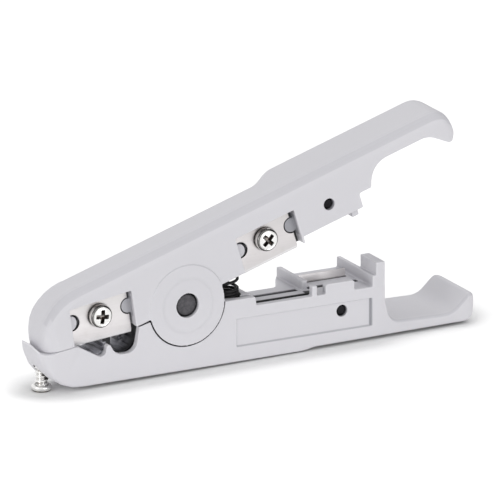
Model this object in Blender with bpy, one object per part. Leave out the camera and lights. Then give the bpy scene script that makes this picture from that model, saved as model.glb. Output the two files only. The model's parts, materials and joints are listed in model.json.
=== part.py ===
"""Hand-held cable stripper and cutter: two sprung plastic arms on a pin, with blades and an adjusting screw.

Metres, +Z up, nose towards -X. The origin is on the flat under the lower arm, straight below the pivot
pin and half way through the core. The handles stand open, as the spring holds them.
"""

import math

import bmesh
import bpy
from mathutils import Matrix, Vector

# Clearances
GAP = 0.0003
NOSE_SEAM_GAP = 0.0002
BLADE_SIDE_GAP = 0.0004
SKIN = 0.00003

# Frame of the two arms
PIVOT_HEIGHT = 0.0180
REST_TILT = math.radians(17.5)
CORE_HALF = 0.0060
CORNER_STEPS = 4
ARC_STEPS = 7

# Pivot
PIN_RADIUS = 0.0030
PIN_RECESS = 0.0005
DISC_RADIUS = 0.0110
DISC_THICKNESS = 0.0030
DISC_PROUD = 0.0003
LUG_RADIUS = 0.0080
ROUND_SIDES = 48
SMALL_SIDES = 24

# Lower arm, heights measured from the pivot
LOWER_NOSE = -0.0448
LOWER_TAIL = 0.0869
NOSE_PLAN_RADIUS = 0.0050
NOSE_UNDER_RADIUS = 0.0140
NOSE_RIM_TOP = -0.0052
NOSE_RIM_FLAT = 0.0003
NOSE_RIM_LENGTH = 0.0021
NOSE_RIM_RADIUS = 0.0020
NOSE_EDGE_RADIUS = 0.0028
NOSE_EDGE_LENGTH = 0.0090
LOWER_EDGE_RADIUS = 0.0007
HEEL_END = 0.0340
HEEL_RAMP = 0.0048
HEEL_RISE = 0.0008
TAIL_UNDER_RISE = 0.0013
TAIL_END_RADIUS = 0.0042
TAIL_NEAR_CORNER = 0.0030
TAIL_FAR_CORNER = 0.0035
TAIL_EDGE_RADIUS = 0.0011
LOWER_FLARE = (0.0320, 0.0380)
LOWER_FAR = 0.0145
TABLE_TOP = -0.0030
TABLE_CORNER = 0.0004
LEDGE_TOP = -0.0006
LEDGE_END = 0.0203
THROAT_TOP = -0.0036
THROAT_INSET = 0.0006
END_WALL_REAR = 0.0592
END_WALL_THICKNESS = 0.0026
END_WALL_TOP = 0.0035
END_WALL_DEPTH = 0.0090
TAIL_STEP_TOP = -0.0070
TAIL_REST_TOP = -0.0134
TAIL_CURL_START = 0.0795
TAIL_LIP_TOP = -0.0091
TAIL_LIP_START = 0.0846
TAIL_LIP_FALL = 0.0006
TAIL_LIP_RADIUS = 0.0014
TAIL_TIP_RADIUS = 0.0016
TAIL_REST_FALL = 0.0004
TAIL_CURL_RADIUS = 0.0060
TAIL_FOOT = 0.0608
TAIL_FOOT_RADIUS = 0.0042
NEAR_WALL = 0.0019
FENCE_TOP = -0.0003
FENCE_ROOT = 0.0015
FRONT_FENCE = (0.0373, 0.0387)
FRONT_FENCE_NEAR = 0.0055
REAR_FENCE_THICKNESS = 0.0012
REAR_FENCE_TOP = 0.0
TAB = (0.0413, 0.0500)
TAB_CORNER = 0.0008
CUTTING_SLOT = (0.0150, 0.0390)
CUTTING_SLOT_DEPTH = 0.0080
CUTTING_SLOT_WIDTH = 0.0011
GROOVE = (0.0064, 0.0082)
GROOVE_FLOOR = -0.0072
GROOVE_END_MARGIN = 0.0008
PANEL_START = 0.0147
PANEL_END = 0.0550
PANEL_LOW = -0.0136
PANEL_HIGH = -0.0060
PANEL_DEPTH = 0.0004

# Cable notches in the lower jaw
NOTCH_FRONT = -0.0322
NOTCH_REAR = -0.0141
VEE_WALL = -0.0239
VEE_CORNER = -0.0115
PEAK_CORNER = -0.0053
CUP_FRONT = -0.0212
CUP_REAR = -0.0153
CUP_BOTTOM = -0.0106
VEE_RADIUS = 0.0016
PEAK_RADIUS = 0.00073
CUP_FRONT_RADIUS = 0.0036
CUP_REAR_RADIUS = 0.0030
JAW_SLOT_DEPTH = 0.0135
JAW_SLOT_LEAD = 0.0011
JAW_RIDGE = (-0.0237, -0.0211)
JAW_RIDGE_TOP = -0.0055
JAW_RIDGE_NEAR = 0.0032
JAW_RIDGE_RADIUS = 0.0006
JAW_BACK_START = -0.0168
JAW_BACK_NEAR = 0.0075
JAW_FILL_ROOT = -0.0120

# Upper arm, in its own frame: along the arm and square to it, from the pivot
NOSE_SETBACK = 0.0024
UPPER_NOSE = LOWER_NOSE + NOSE_SETBACK
UPPER_TAIL = 0.0879
UPPER_TOP = 0.01795
UPPER_EDGE_RADIUS = 0.0030
UPPER_NOSE_RADIUS = 0.0135
UPPER_TAIL_RADIUS = 0.0060
UPPER_FAR = 0.0107
UPPER_FLARE = (0.0310, 0.0398)
NOSE_OVERRUN = 0.0050
NOSE_LIP_FRONT = 0.0078
NOSE_LIP_MIDDLE = (-0.0407, 0.0049)
NOSE_LIP_RADIUS = 0.0040
NOSE_LIP_END = (-0.0339, 0.0038)
JAW_LINE_END = -0.0143
BELLY = 0.00085
REAR_BELLY = 0.0027
REAR_STEP = 0.0560
REAR_LEDGE = 0.0068
LEDGE_CORNER = 0.0006
REAR_LEDGE_END = 0.0598
HANDLE_UNDER = 0.01285
HANDLE_FOOT = 0.0619
HANDLE_FOOT_RADIUS = 0.0064
HANDLE_CURL_START = 0.0795
HANDLE_CURL_RADIUS = 0.0060
HANDLE_LIP = (0.0854, 0.0079)
HANDLE_LIP_RADIUS = 0.0012
HANDLE_LIP_SLOPE = 1.05
STOP_TAB = (0.0531, 0.0551)
STOP_TAB_LOW = 0.0003
STOP_TAB_DEPTH = (0.0022, 0.0046)

# Blades on the near side of the upper arm
FRONT_BLADE_LENGTH = 0.0175
REAR_BLADE_LENGTH = 0.01675
BLADE_HEIGHT = 0.0110
FRONT_EDGE_LEAN = math.radians(3.3)
EDGE_LEAN_PLACE = -0.0029
BLADE_THICKNESS = 0.0005
BLADE_SCREW_DROP = 0.0042
LUG_ROUND = 0.0020
FRONT_LUG_SHIFT = 0.0002
FRONT_NOTCH_SHIFT = 0.0007
LUG_RELIEF_DEPTH = 0.0055
POCKET_DEPTH = 0.0030
REAR_POCKET_GAP = 0.00105
POCKET_TONGUE = 0.0005
FRONT_POCKET_GAP = 0.0006
REAR_BLADE_SCREW = (0.02733, 0.0064)
FRONT_BLADE_SCREW = (-0.0238, 0.0080)
FRONT_BLADE_TURN = math.radians(9.0)

# Screws that hold the blades
SCREW_HEAD_RADIUS = 0.0031
SCREW_HEAD_HEIGHT = 0.0022
SCREW_SHANK_RADIUS = 0.0014
SCREW_SHANK_LENGTH = 0.0060
SCREW_DOME = 0.0005
CROSS_WIDTH = 0.0009
CROSS_REACH = 0.0018
CROSS_DEPTH = 0.0011

# Stripping blades between the fences
STRIP_LENGTH = 0.0144
STRIP_THICKNESS = 0.0006
STRIP_DEPTH = 0.0120
STRIP_CENTRE = 0.0464
LOWER_STRIP_EDGE = -0.0009
LOWER_STRIP_ROOT = -0.0105
LOWER_PIN_HEIGHT = -0.0084
UPPER_STRIP_CENTRE = 0.0469
UPPER_STRIP_EDGE = 0.0019
UPPER_STRIP_ROOT = 0.0104
UPPER_PIN_HEIGHT = 0.0079
STRIP_PIN_RADIUS = 0.0013
STRIP_PIN_END = 0.0150
STRIP_PIN_RECESS = 0.0010

# Return spring
SPRING_X = 0.0146
SPRING_RADIUS = 0.0031
SPRING_WIRE = 0.0008
SPRING_TURNS = 6
SPRING_POINTS_PER_TURN = 10
SPRING_SEAT = -0.0048
SPRING_TOP = 0.0064
SPRING_WELL_GAP = 0.0004

# Adjusting screw in the nose
ADJUSTER_SETBACK = 0.0047
ADJUSTER_X = LOWER_NOSE + ADJUSTER_SETBACK
ADJUSTER_THREAD_RADIUS = 0.0018
ADJUSTER_ROOT_RADIUS = 0.0013
ADJUSTER_PITCH = 0.0013
ADJUSTER_HEAD_RADIUS = 0.0027
ADJUSTER_HEAD_HEIGHT = 0.0016
ADJUSTER_HEAD_BEVEL = 0.0004
ADJUSTER_HEAD_LOW = -0.0010
ADJUSTER_TIP_GAP = 0.0004
ADJUSTER_SIDES = 20

# Overruns of cutters, well outside the part
FAR_AWAY = 0.200
SKY = 0.030
TRIM = 0.004
SHARP = 0.0001
STATION_STEP = 0.0002


def clear_scene():
    for old in list(bpy.data.objects):
        bpy.data.objects.remove(old, do_unlink=True)


def finish(name, colour, roughness, metallic):
    material = bpy.data.materials.new(name)
    material.use_nodes = True
    shader = material.node_tree.nodes["Principled BSDF"]
    shader.inputs["Base Color"].default_value = (*colour, 1.0)
    shader.inputs["Roughness"].default_value = roughness
    shader.inputs["Metallic"].default_value = metallic
    return material


def named_object(name, mesh, material=None):
    piece = bpy.data.objects.new(name, mesh)
    bpy.context.collection.objects.link(piece)
    if material:
        piece.data.materials.append(material)
    return piece


def mesh_from(bm, name):
    bmesh.ops.recalc_face_normals(bm, faces=bm.faces)
    mesh = bpy.data.meshes.new(name)
    bm.to_mesh(mesh)
    bm.free()
    return mesh


def rounded(corners, steps=ARC_STEPS):
    """Outline through corners (a, b, radius), each corner with a radius turned into an arc."""
    outline = []
    count = len(corners)
    for index, (a, b, radius) in enumerate(corners):
        corner = Vector((a, b))
        back = Vector(corners[index - 1][:2]) - corner
        ahead = Vector(corners[(index + 1) % count][:2]) - corner
        if radius <= 0:
            outline.append(corner)
            continue
        half = back.angle(ahead) / 2
        room_back = back.length * (0.49 if corners[index - 1][2] else 0.98)
        room_ahead = ahead.length * (0.49 if corners[(index + 1) % count][2] else 0.98)
        reach = min(radius / math.tan(half), room_back, room_ahead)
        start = corner + back.normalized() * reach
        end = corner + ahead.normalized() * reach
        centre = corner + (back.normalized() + ahead.normalized()).normalized() * (reach / math.cos(half))
        arm_a = start - centre
        arm_b = end - centre
        sweep = arm_a.angle_signed(arm_b)
        for step in range(steps + 1):
            turn = -sweep * step / steps
            cos, sin = math.cos(turn), math.sin(turn)
            outline.append(centre + Vector((arm_a.x * cos - arm_a.y * sin, arm_a.x * sin + arm_a.y * cos)))
    return outline


def side_prism(name, outline, near, far):
    """Outline in X and Z, made solid from near to far in Y."""
    bm = bmesh.new()
    ring = [bm.verts.new((a, near, b)) for a, b in outline]
    face = bm.faces.new(ring)
    moved = bmesh.ops.extrude_face_region(bm, geom=[face])["geom"]
    verts = [item for item in moved if isinstance(item, bmesh.types.BMVert)]
    bmesh.ops.translate(bm, verts=verts, vec=(0, far - near, 0))
    return named_object(name, mesh_from(bm, name))


def block(name, x, y, z):
    return side_prism(name, [(x[0], z[0]), (x[1], z[0]), (x[1], z[1]), (x[0], z[1])], y[0], y[1])


def cross_cylinder(name, a, b, radius, near, far, sides=ROUND_SIDES):
    """Round bar along Y through (a, b)."""
    turns = [2 * math.pi * (step + 0.5) / sides for step in range(sides)]
    return side_prism(name, [(a + radius * math.cos(t), b + radius * math.sin(t)) for t in turns], near, far)


def turned(name, profile, sides):
    """Solid of revolution about Z from (radius, height) points, first and last on the axis."""
    bm = bmesh.new()
    verts = [bm.verts.new((radius, 0, height)) for radius, height in profile]
    edges = [bm.edges.new(pair) for pair in zip(verts, verts[1:])]
    bmesh.ops.spin(
        bm, geom=verts + edges, cent=(0, 0, 0), axis=(0, 0, 1), angle=2 * math.pi, steps=sides, use_merge=True
    )
    bmesh.ops.remove_doubles(bm, verts=bm.verts, dist=1e-6)
    return mesh_from(bm, name)


def combine(piece, other, operation):
    """Apply one Boolean and drop the tool piece."""
    step = piece.modifiers.new(operation, "BOOLEAN")
    step.operation = operation
    step.solver = "EXACT"
    step.object = other
    bpy.context.view_layer.update()
    graph = bpy.context.evaluated_depsgraph_get()
    mesh = bpy.data.meshes.new_from_object(piece.evaluated_get(graph))
    piece.modifiers.clear()
    piece.data = mesh
    bpy.data.objects.remove(other, do_unlink=True)


def cut(piece, *tools):
    for tool in tools:
        combine(piece, tool, "DIFFERENCE")


def join(piece, *extras):
    for extra in extras:
        combine(piece, extra, "UNION")


def depth(distance):
    """Y at a distance behind the flat near side."""
    return distance - CORE_HALF


def corner_points(centre, radius, start):
    for step in range(CORNER_STEPS + 1):
        turn = start + math.pi / 2 * step / CORNER_STEPS
        yield centre[0] + radius * math.cos(turn), centre[1] + radius * math.sin(turn)


def section(near, far, low, high, low_radius, high_radius):
    """Closed ring in Y and Z with its four corners rounded, anticlockwise from the far low corner."""
    room = 0.49 * min(far - near, high - low)
    low_radius = min(low_radius, room)
    high_radius = min(high_radius, room)
    ring = list(corner_points((far - low_radius, low + low_radius), low_radius, -math.pi / 2))
    ring += corner_points((far - high_radius, high - high_radius), high_radius, 0)
    ring += corner_points((near + high_radius, high - high_radius), high_radius, math.pi / 2)
    ring += corner_points((near + low_radius, low + low_radius), low_radius, math.pi)
    return ring


def hull(name, stations):
    """Skin rounded sections (x, near, far, low, high, low radius, high radius) along X."""
    bm = bmesh.new()
    rings = []
    for x, *sizes in stations:
        rings.append([bm.verts.new((x, y, z)) for y, z in section(*sizes)])
    for first, second in zip(rings, rings[1:]):
        count = len(first)
        for index in range(count):
            following = (index + 1) % count
            bm.faces.new((first[index], first[following], second[following], second[index]))
    bm.faces.new(rings[0])
    bm.faces.new(rings[-1])
    return named_object(name, mesh_from(bm, name))


def quarter(distance, radius):
    """Drop of a quarter circle at a distance inside its end."""
    inside = max(0.0, radius - distance)
    return radius - math.sqrt(max(0.0, radius * radius - inside * inside))


def smooth_step(value, start, end):
    share = min(1.0, max(0.0, (value - start) / (end - start)))
    return share * share * (3 - 2 * share)


def spread(start, radius, direction, steps=ARC_STEPS):
    """Station places that follow a quarter circle which ends at start."""
    turns = [math.pi / 2 * step / steps for step in range(steps + 1)]
    return [start + direction * radius * (1 - math.cos(turn)) for turn in turns]


def between(start, end, steps):
    return [start + (end - start) * step / steps for step in range(steps + 1)]


def station_places(places):
    """Sorted places with near duplicates dropped."""
    kept = []
    for place in sorted(places):
        if not kept or place - kept[-1] > STATION_STEP:
            kept.append(place)
    return kept


def arm_sides(x, nose, tail, far, flare):
    """Near and far side of an arm: round nose, wider handle, round tail corners."""
    nose_drop = quarter(x - nose, NOSE_PLAN_RADIUS)
    near_drop = quarter(tail - x, TAIL_NEAR_CORNER)
    far_drop = quarter(tail - x, TAIL_FAR_CORNER)
    reach = CORE_HALF + (far - CORE_HALF) * smooth_step(x, *flare)
    return -CORE_HALF + nose_drop + near_drop, reach - nose_drop - far_drop


def lower_under(x):
    """Underside of the lower arm, from the pivot."""
    base = -PIVOT_HEIGHT + quarter(x - LOWER_NOSE, NOSE_UNDER_RADIUS)
    rise = HEEL_RISE * smooth_step(x, HEEL_END, HEEL_END + HEEL_RAMP)
    rise += (TAIL_UNDER_RISE - HEEL_RISE) * smooth_step(x, HEEL_END, LOWER_TAIL)
    return base + rise + quarter(LOWER_TAIL - x, TAIL_END_RADIUS)


def tail_line():
    """Top line of the thumb rest, from the end wall to beyond its tip."""
    line = [
        (END_WALL_REAR, TAIL_STEP_TOP, 0),
        (TAIL_FOOT, TAIL_REST_TOP, TAIL_FOOT_RADIUS),
        (TAIL_CURL_START, TAIL_REST_TOP - TAIL_REST_FALL, TAIL_CURL_RADIUS),
        (TAIL_LIP_START, TAIL_LIP_TOP, TAIL_LIP_RADIUS),
        (LOWER_TAIL + NOSE_OVERRUN, TAIL_LIP_TOP - TAIL_LIP_FALL, 0),
    ]
    points = rounded([(END_WALL_REAR, -SKY, 0)] + line + [(LOWER_TAIL + NOSE_OVERRUN, -SKY, 0)])
    return points[1:-1]


def height_on(line, x):
    """Height of a line of points at x."""
    for first, second in zip(line, line[1:]):
        if first[0] <= x <= second[0]:
            return first[1] + (second[1] - first[1]) * (x - first[0]) / (second[0] - first[0])
    return line[-1][1]


def lower_hull():
    """Lower arm as skinned sections: tall up to the end wall, then the thumb rest with rounded edges."""
    places = spread(LOWER_NOSE, NOSE_UNDER_RADIUS, 1) + spread(LOWER_NOSE, NOSE_PLAN_RADIUS, 1, 4)
    places += between(*LOWER_FLARE, 6) + [HEEL_END, HEEL_END + HEEL_RAMP, LEDGE_END]
    line = tail_line()
    tail = [point[0] for point in line[:-1]]
    tail += spread(LOWER_TAIL, TAIL_END_RADIUS, -1) + spread(LOWER_TAIL, TAIL_NEAR_CORNER, -1, 4)
    places += between(LOWER_FLARE[1], END_WALL_REAR - STATION_STEP, 2)
    stations = [lower_station(x, END_WALL_TOP + TRIM, SHARP) for x in station_places(places)]
    for x in station_places([x for x in tail if END_WALL_REAR <= x <= LOWER_TAIL]):
        top = height_on(line, x) - quarter(LOWER_TAIL - x, TAIL_TIP_RADIUS)
        stations.append(lower_station(x, top, TAIL_EDGE_RADIUS))
    return hull("lower_arm", stations)


def lower_station(x, top, edge_radius):
    near, far = arm_sides(x, LOWER_NOSE, LOWER_TAIL, LOWER_FAR, LOWER_FLARE)
    at_nose = 1 - smooth_step(x, LOWER_NOSE, LOWER_NOSE + NOSE_EDGE_LENGTH)
    return x, near, far, lower_under(x), top, LOWER_EDGE_RADIUS + NOSE_EDGE_RADIUS * at_nose, edge_radius


def lower_top_cutter():
    """Everything above the lower arm's top line: rim, lip, cable notches, throat, ledge and table."""
    lip_front, lip_middle, lip_rear = [at_rest(*point) for point in nose_lip()]
    rim_end = LOWER_NOSE + NOSE_RIM_LENGTH
    line = [
        (lip_front[0], NOSE_RIM_TOP, 0),
        (LOWER_NOSE + NOSE_RIM_FLAT, NOSE_RIM_TOP, 0),
        (rim_end, nose_seam(rim_end) - NOSE_SEAM_GAP, NOSE_RIM_RADIUS),
        (lip_middle[0], lip_middle[1] - NOSE_SEAM_GAP, NOSE_LIP_RADIUS),
        (lip_rear[0], lip_rear[1] - NOSE_SEAM_GAP, 0),
        (NOTCH_FRONT, lip_rear[1] - NOSE_SEAM_GAP, 0),
        (VEE_WALL, VEE_CORNER, VEE_RADIUS),
        (VEE_WALL, PEAK_CORNER, PEAK_RADIUS),
        (CUP_FRONT, CUP_BOTTOM, CUP_FRONT_RADIUS),
        (CUP_REAR, CUP_BOTTOM, CUP_REAR_RADIUS),
        (NOTCH_REAR, seam_height(NOTCH_REAR), 0),
        (-LUG_RADIUS, seam_height(-LUG_RADIUS - GAP) - GAP, 0),
        (DISC_RADIUS - THROAT_INSET, THROAT_TOP, 0),
        (DISC_RADIUS - THROAT_INSET, LEDGE_TOP, 0),
        (LEDGE_END, LEDGE_TOP, TABLE_CORNER),
        (LEDGE_END + TABLE_CORNER, TABLE_TOP, TABLE_CORNER),
        (LOWER_TAIL + NOSE_OVERRUN, TABLE_TOP, 0),
        (LOWER_TAIL + NOSE_OVERRUN, SKY, 0),
        (lip_front[0], SKY, 0),
    ]
    return side_prism("top_cutter", rounded(line), -FAR_AWAY, FAR_AWAY)


def nose_plug():
    """Upper nose at rest, grown by the seam's gap, which leaves the lower rim close round it."""
    gap = NOSE_SEAM_GAP
    nose = UPPER_NOSE - gap
    stations = []
    for x in station_places(spread(nose, NOSE_PLAN_RADIUS, 1) + [NOSE_LIP_END[0]]):
        near, far = arm_sides(x, nose, UPPER_TAIL, UPPER_FAR, UPPER_FLARE)
        high = UPPER_TOP - quarter(x - nose, UPPER_NOSE_RADIUS) + gap
        stations.append((x, near - gap, far + gap, -TRIM, high, SHARP, SHARP))
    plug = hull("nose_plug", stations)
    front, middle, rear = nose_lip()
    corners = [(*front, 0), (*middle, NOSE_LIP_RADIUS), (*rear, 0), (rear[0] + TRIM, rear[1], 0)]
    below = [(a, b - gap, radius) for a, b, radius in corners]
    below += [(rear[0] + TRIM, -SKY, 0), (front[0], -SKY, 0)]
    cut(plug, side_prism("below_nose", rounded(below), -FAR_AWAY, FAR_AWAY))
    plug.data.transform(Matrix.Rotation(-REST_TILT, 4, "Y"))
    return plug


def jaw_fill():
    """Ridge between the two cable notches and steep rear wall, both behind the blade's slot."""
    far = CORE_HALF - SKIN
    heights = (JAW_FILL_ROOT, JAW_RIDGE_TOP)
    yield rounded_block("jaw_ridge", JAW_RIDGE, (depth(JAW_RIDGE_NEAR), far), heights, JAW_RIDGE_RADIUS)
    end = NOTCH_REAR + GAP
    outline = [(JAW_BACK_START, JAW_FILL_ROOT), (end, JAW_FILL_ROOT), (end, seam_height(end) - SKIN)]
    outline.append((JAW_BACK_START, seam_height(JAW_BACK_START) - SKIN))
    yield side_prism("jaw_back", outline, depth(JAW_BACK_NEAR), far)


def at_rest(along, square):
    """Place of a point of the upper arm, from the pivot, while the handles are open."""
    cos, sin = math.cos(REST_TILT), math.sin(REST_TILT)
    return along * cos - square * sin, along * sin + square * cos


def nose_lip():
    """Lower edge of the upper nose, in the upper arm's own frame."""
    return (UPPER_NOSE - NOSE_OVERRUN, NOSE_LIP_FRONT), NOSE_LIP_MIDDLE, NOSE_LIP_END


def nose_seam(x):
    """Height of the upper nose's lower edge at rest."""
    return height_on([at_rest(*point) for point in nose_lip()], x)


def seam_height(x):
    """Height of the upper arm's belly line above the lower jaw at rest, less the gap."""
    return x * math.tan(REST_TILT) + (BELLY - GAP) / math.cos(REST_TILT)


def rounded_block(name, x, y, z, radius):
    """Block whose two upper corners are rounded."""
    outline = rounded([(x[0], z[0], 0), (x[1], z[0], 0), (x[1], z[1], radius), (x[0], z[1], radius)], 3)
    return side_prism(name, outline, y[0], y[1])


def rear_fence_front():
    return END_WALL_REAR - END_WALL_THICKNESS - REAR_FENCE_THICKNESS


def lower_fences():
    """Tab, fences and end wall that stand on the table."""
    root = TABLE_TOP - FENCE_ROOT
    rear_fence_end = END_WALL_REAR - END_WALL_THICKNESS
    rear_fence = (rear_fence_front(), rear_fence_end)
    far_edge = LOWER_FAR - GAP
    inside = depth(SKIN)
    yield rounded_block("tab", TAB, (inside, depth(NEAR_WALL)), (root, FENCE_TOP), TAB_CORNER)
    yield block("post", FRONT_FENCE, (inside, depth(NEAR_WALL)), (root, FENCE_TOP))
    yield block("front_fence", FRONT_FENCE, (depth(FRONT_FENCE_NEAR), far_edge), (root, FENCE_TOP))
    yield block("rear_fence", rear_fence, (inside, far_edge), (root, REAR_FENCE_TOP))
    wall = (rear_fence_end - 3 * SKIN, END_WALL_REAR - SKIN)
    yield block("end_wall", wall, (inside + SKIN, depth(END_WALL_DEPTH)), (root - SKIN, END_WALL_TOP))


def lower_cutters():
    """Slots, wells, holes and the shallow panel of the lower arm."""
    blade_front = depth(POCKET_DEPTH - GAP - BLADE_THICKNESS / 2 - CUTTING_SLOT_WIDTH / 2)
    slot = (blade_front, blade_front + CUTTING_SLOT_WIDTH)
    yield block("cutting_slot", CUTTING_SLOT, slot, (TABLE_TOP - CUTTING_SLOT_DEPTH, SKY))
    yield block("jaw_slot", (NOTCH_FRONT - JAW_SLOT_LEAD, NOTCH_REAR - GAP), slot, (-JAW_SLOT_DEPTH, SKY))
    groove = (LEDGE_END + GROOVE_END_MARGIN, FRONT_FENCE[0] - GROOVE_END_MARGIN)
    rear_groove = (FRONT_FENCE[1] + GROOVE_END_MARGIN, rear_fence_front() - GROOVE_END_MARGIN)
    groove_sides = (depth(GROOVE[0]), depth(GROOVE[1]))
    for span in (groove, rear_groove):
        yield block("groove", span, groove_sides, (GROOVE_FLOOR, TABLE_TOP + GROOVE_END_MARGIN))
    half = STRIP_LENGTH / 2 + BLADE_SIDE_GAP
    strip = (depth(STRIP_DEPTH) - GAP, depth(STRIP_DEPTH) + STRIP_THICKNESS + GAP)
    strip_span = (STRIP_CENTRE - half, STRIP_CENTRE + half)
    yield block("strip_slot", strip_span, strip, (LOWER_STRIP_ROOT - GAP, SKY))
    yield strip_pin_hole(STRIP_CENTRE, LOWER_PIN_HEIGHT)
    yield block("panel", (PANEL_START, PANEL_END), (-FAR_AWAY, depth(PANEL_DEPTH)), (PANEL_LOW, PANEL_HIGH))
    for near, far in disc_spans(GAP):
        yield cross_cylinder("disc_seat", 0, 0, DISC_RADIUS + GAP, near, far)


def strip_pin_hole(a, b):
    """Hole from the near side for the pin of a strip blade."""
    radius = STRIP_PIN_RADIUS + GAP
    return cross_cylinder("pin_hole", a, b, radius, -FAR_AWAY, depth(STRIP_PIN_END) + GAP, SMALL_SIDES)


def disc_spans(clearance):
    """Y ranges of the two discs of the upper arm, opened outwards and grown inwards by a clearance."""
    inner = CORE_HALF - DISC_THICKNESS - clearance
    return ((-FAR_AWAY, -inner), (inner, FAR_AWAY))


def upright(name, x, radius, low, high, sides):
    """Round bar along Z on the centre plane."""
    piece = named_object(name, turned(name, [(0, low), (radius, low), (radius, high), (0, high)], sides))
    piece.data.transform(Matrix.Translation((x, 0, 0)))
    return piece


def make_lower_arm(material):
    arm = lower_hull()
    cut(arm, lower_top_cutter(), nose_plug())
    join(arm, *jaw_fill(), *lower_fences())
    cut(arm, *lower_cutters())
    lug_half = CORE_HALF - DISC_THICKNESS - GAP
    join(arm, cross_cylinder("lug", 0, 0, LUG_RADIUS, -lug_half, lug_half))
    well = SPRING_RADIUS + SPRING_WIRE / 2 + SPRING_WELL_GAP
    cut(
        arm,
        cross_cylinder("pin_bore", 0, 0, PIN_RADIUS + GAP, -FAR_AWAY, FAR_AWAY),
        upright("spring_well", SPRING_X, well, SPRING_SEAT, SKY, SMALL_SIDES),
        upright("adjuster_bore", ADJUSTER_X, ADJUSTER_THREAD_RADIUS + GAP, -SKY, SKY, SMALL_SIDES),
    )
    arm.location = (0, 0, PIVOT_HEIGHT)
    arm.data.materials.clear()
    arm.data.materials.append(material)
    return arm


def upper_hull():
    places = spread(UPPER_NOSE, UPPER_NOSE_RADIUS, 1, 9) + spread(UPPER_NOSE, NOSE_PLAN_RADIUS, 1, 4)
    places += between(*UPPER_FLARE, 6)
    places += between(UPPER_NOSE + UPPER_NOSE_RADIUS, UPPER_FLARE[0], 3)
    places += between(UPPER_FLARE[1], UPPER_TAIL - UPPER_TAIL_RADIUS, 3)
    places += spread(UPPER_TAIL, UPPER_TAIL_RADIUS, -1) + spread(UPPER_TAIL, TAIL_NEAR_CORNER, -1, 4)
    stations = []
    for x in station_places(places):
        near, far = arm_sides(x, UPPER_NOSE, UPPER_TAIL, UPPER_FAR, UPPER_FLARE)
        drop = quarter(x - UPPER_NOSE, UPPER_NOSE_RADIUS) + quarter(UPPER_TAIL - x, UPPER_TAIL_RADIUS)
        stations.append((x, near, far, -TRIM, UPPER_TOP - drop, SHARP, UPPER_EDGE_RADIUS))
    return hull("upper_arm", stations)


def upper_under_cutter():
    """Everything below the upper arm's belly line."""
    step = REAR_BLADE_SCREW[0] + REAR_BLADE_LENGTH / 2 + REAR_POCKET_GAP + POCKET_TONGUE
    lip_end = UPPER_TAIL + NOSE_OVERRUN
    lip_front, lip_middle, lip_rear = nose_lip()
    line = [
        (*lip_front, 0),
        (*lip_middle, NOSE_LIP_RADIUS),
        (*lip_rear, 0),
        (JAW_LINE_END, BELLY, 0),
        (step, BELLY, 0),
        (step + SHARP, REAR_BELLY, 0),
        (REAR_STEP, REAR_BELLY, 0),
        (REAR_STEP, REAR_LEDGE, LEDGE_CORNER),
        (REAR_LEDGE_END, REAR_LEDGE, 0),
        (HANDLE_FOOT, HANDLE_UNDER, HANDLE_FOOT_RADIUS),
        (HANDLE_CURL_START, HANDLE_UNDER, HANDLE_CURL_RADIUS),
        (*HANDLE_LIP, HANDLE_LIP_RADIUS),
        (lip_end, HANDLE_LIP[1] + HANDLE_LIP_SLOPE * (lip_end - HANDLE_LIP[0]), 0),
        (lip_end, -SKY, 0),
        (UPPER_NOSE - NOSE_OVERRUN, -SKY, 0),
    ]
    return side_prism("under_cutter", rounded(line), -FAR_AWAY, FAR_AWAY)


def blade_frame(screw, turn):
    """Function from places round a blade's screw to the upper arm's own frame."""
    cos, sin = math.cos(turn), math.sin(turn)

    def place(a, b):
        return screw[0] + a * cos - b * sin, screw[1] + a * sin + b * cos

    return place


def blade_places():
    """Name, screw place, turn, length, lean of the edge and the gap behind each blade."""
    yield "rear_blade", REAR_BLADE_SCREW, 0.0, REAR_BLADE_LENGTH, 0.0, REAR_POCKET_GAP
    front_turn = -FRONT_BLADE_TURN
    yield "front_blade", FRONT_BLADE_SCREW, front_turn, FRONT_BLADE_LENGTH, FRONT_EDGE_LEAN, FRONT_POCKET_GAP


def pocket_cutter(screw, turn, length, gap):
    """Recess for one blade, open towards the belly."""
    place = blade_frame(screw, turn)
    front = -length / 2 - BLADE_SIDE_GAP
    rear = length / 2 + gap
    top = BLADE_SCREW_DROP + BLADE_SIDE_GAP
    outline = [place(front, -SKY), place(rear, -SKY), place(rear, top), place(front, top)]
    return side_prism("pocket", outline, -FAR_AWAY, depth(POCKET_DEPTH))


def notch_centres(length):
    """Places of a blade's two end notches from its screw; the front one lies further in."""
    return (-length / 2 + FRONT_NOTCH_SHIFT, length / 2)


def lug_reliefs(screw, turn, length):
    """Deeper round recess behind each end notch of a blade."""
    place = blade_frame(screw, turn)
    span = (depth(POCKET_DEPTH - GAP), depth(LUG_RELIEF_DEPTH))
    for centre in notch_centres(length):
        a, b = place(centre, 0)
        yield cross_cylinder("relief", a, b, LUG_ROUND + GAP, *span, SMALL_SIDES)


def pocket_lugs(screw, turn, length):
    """Half-round lugs at both ends of a pocket, which locate the blade."""
    place = blade_frame(screw, turn)
    face = depth(POCKET_DEPTH - GAP - BLADE_THICKNESS)
    root = depth(LUG_RELIEF_DEPTH + FENCE_ROOT)
    for centre in (-length / 2 + FRONT_LUG_SHIFT, length / 2):
        a, b = place(centre, 0)
        yield cross_cylinder("lug", a, b, LUG_ROUND, face, root, SMALL_SIDES)


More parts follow.
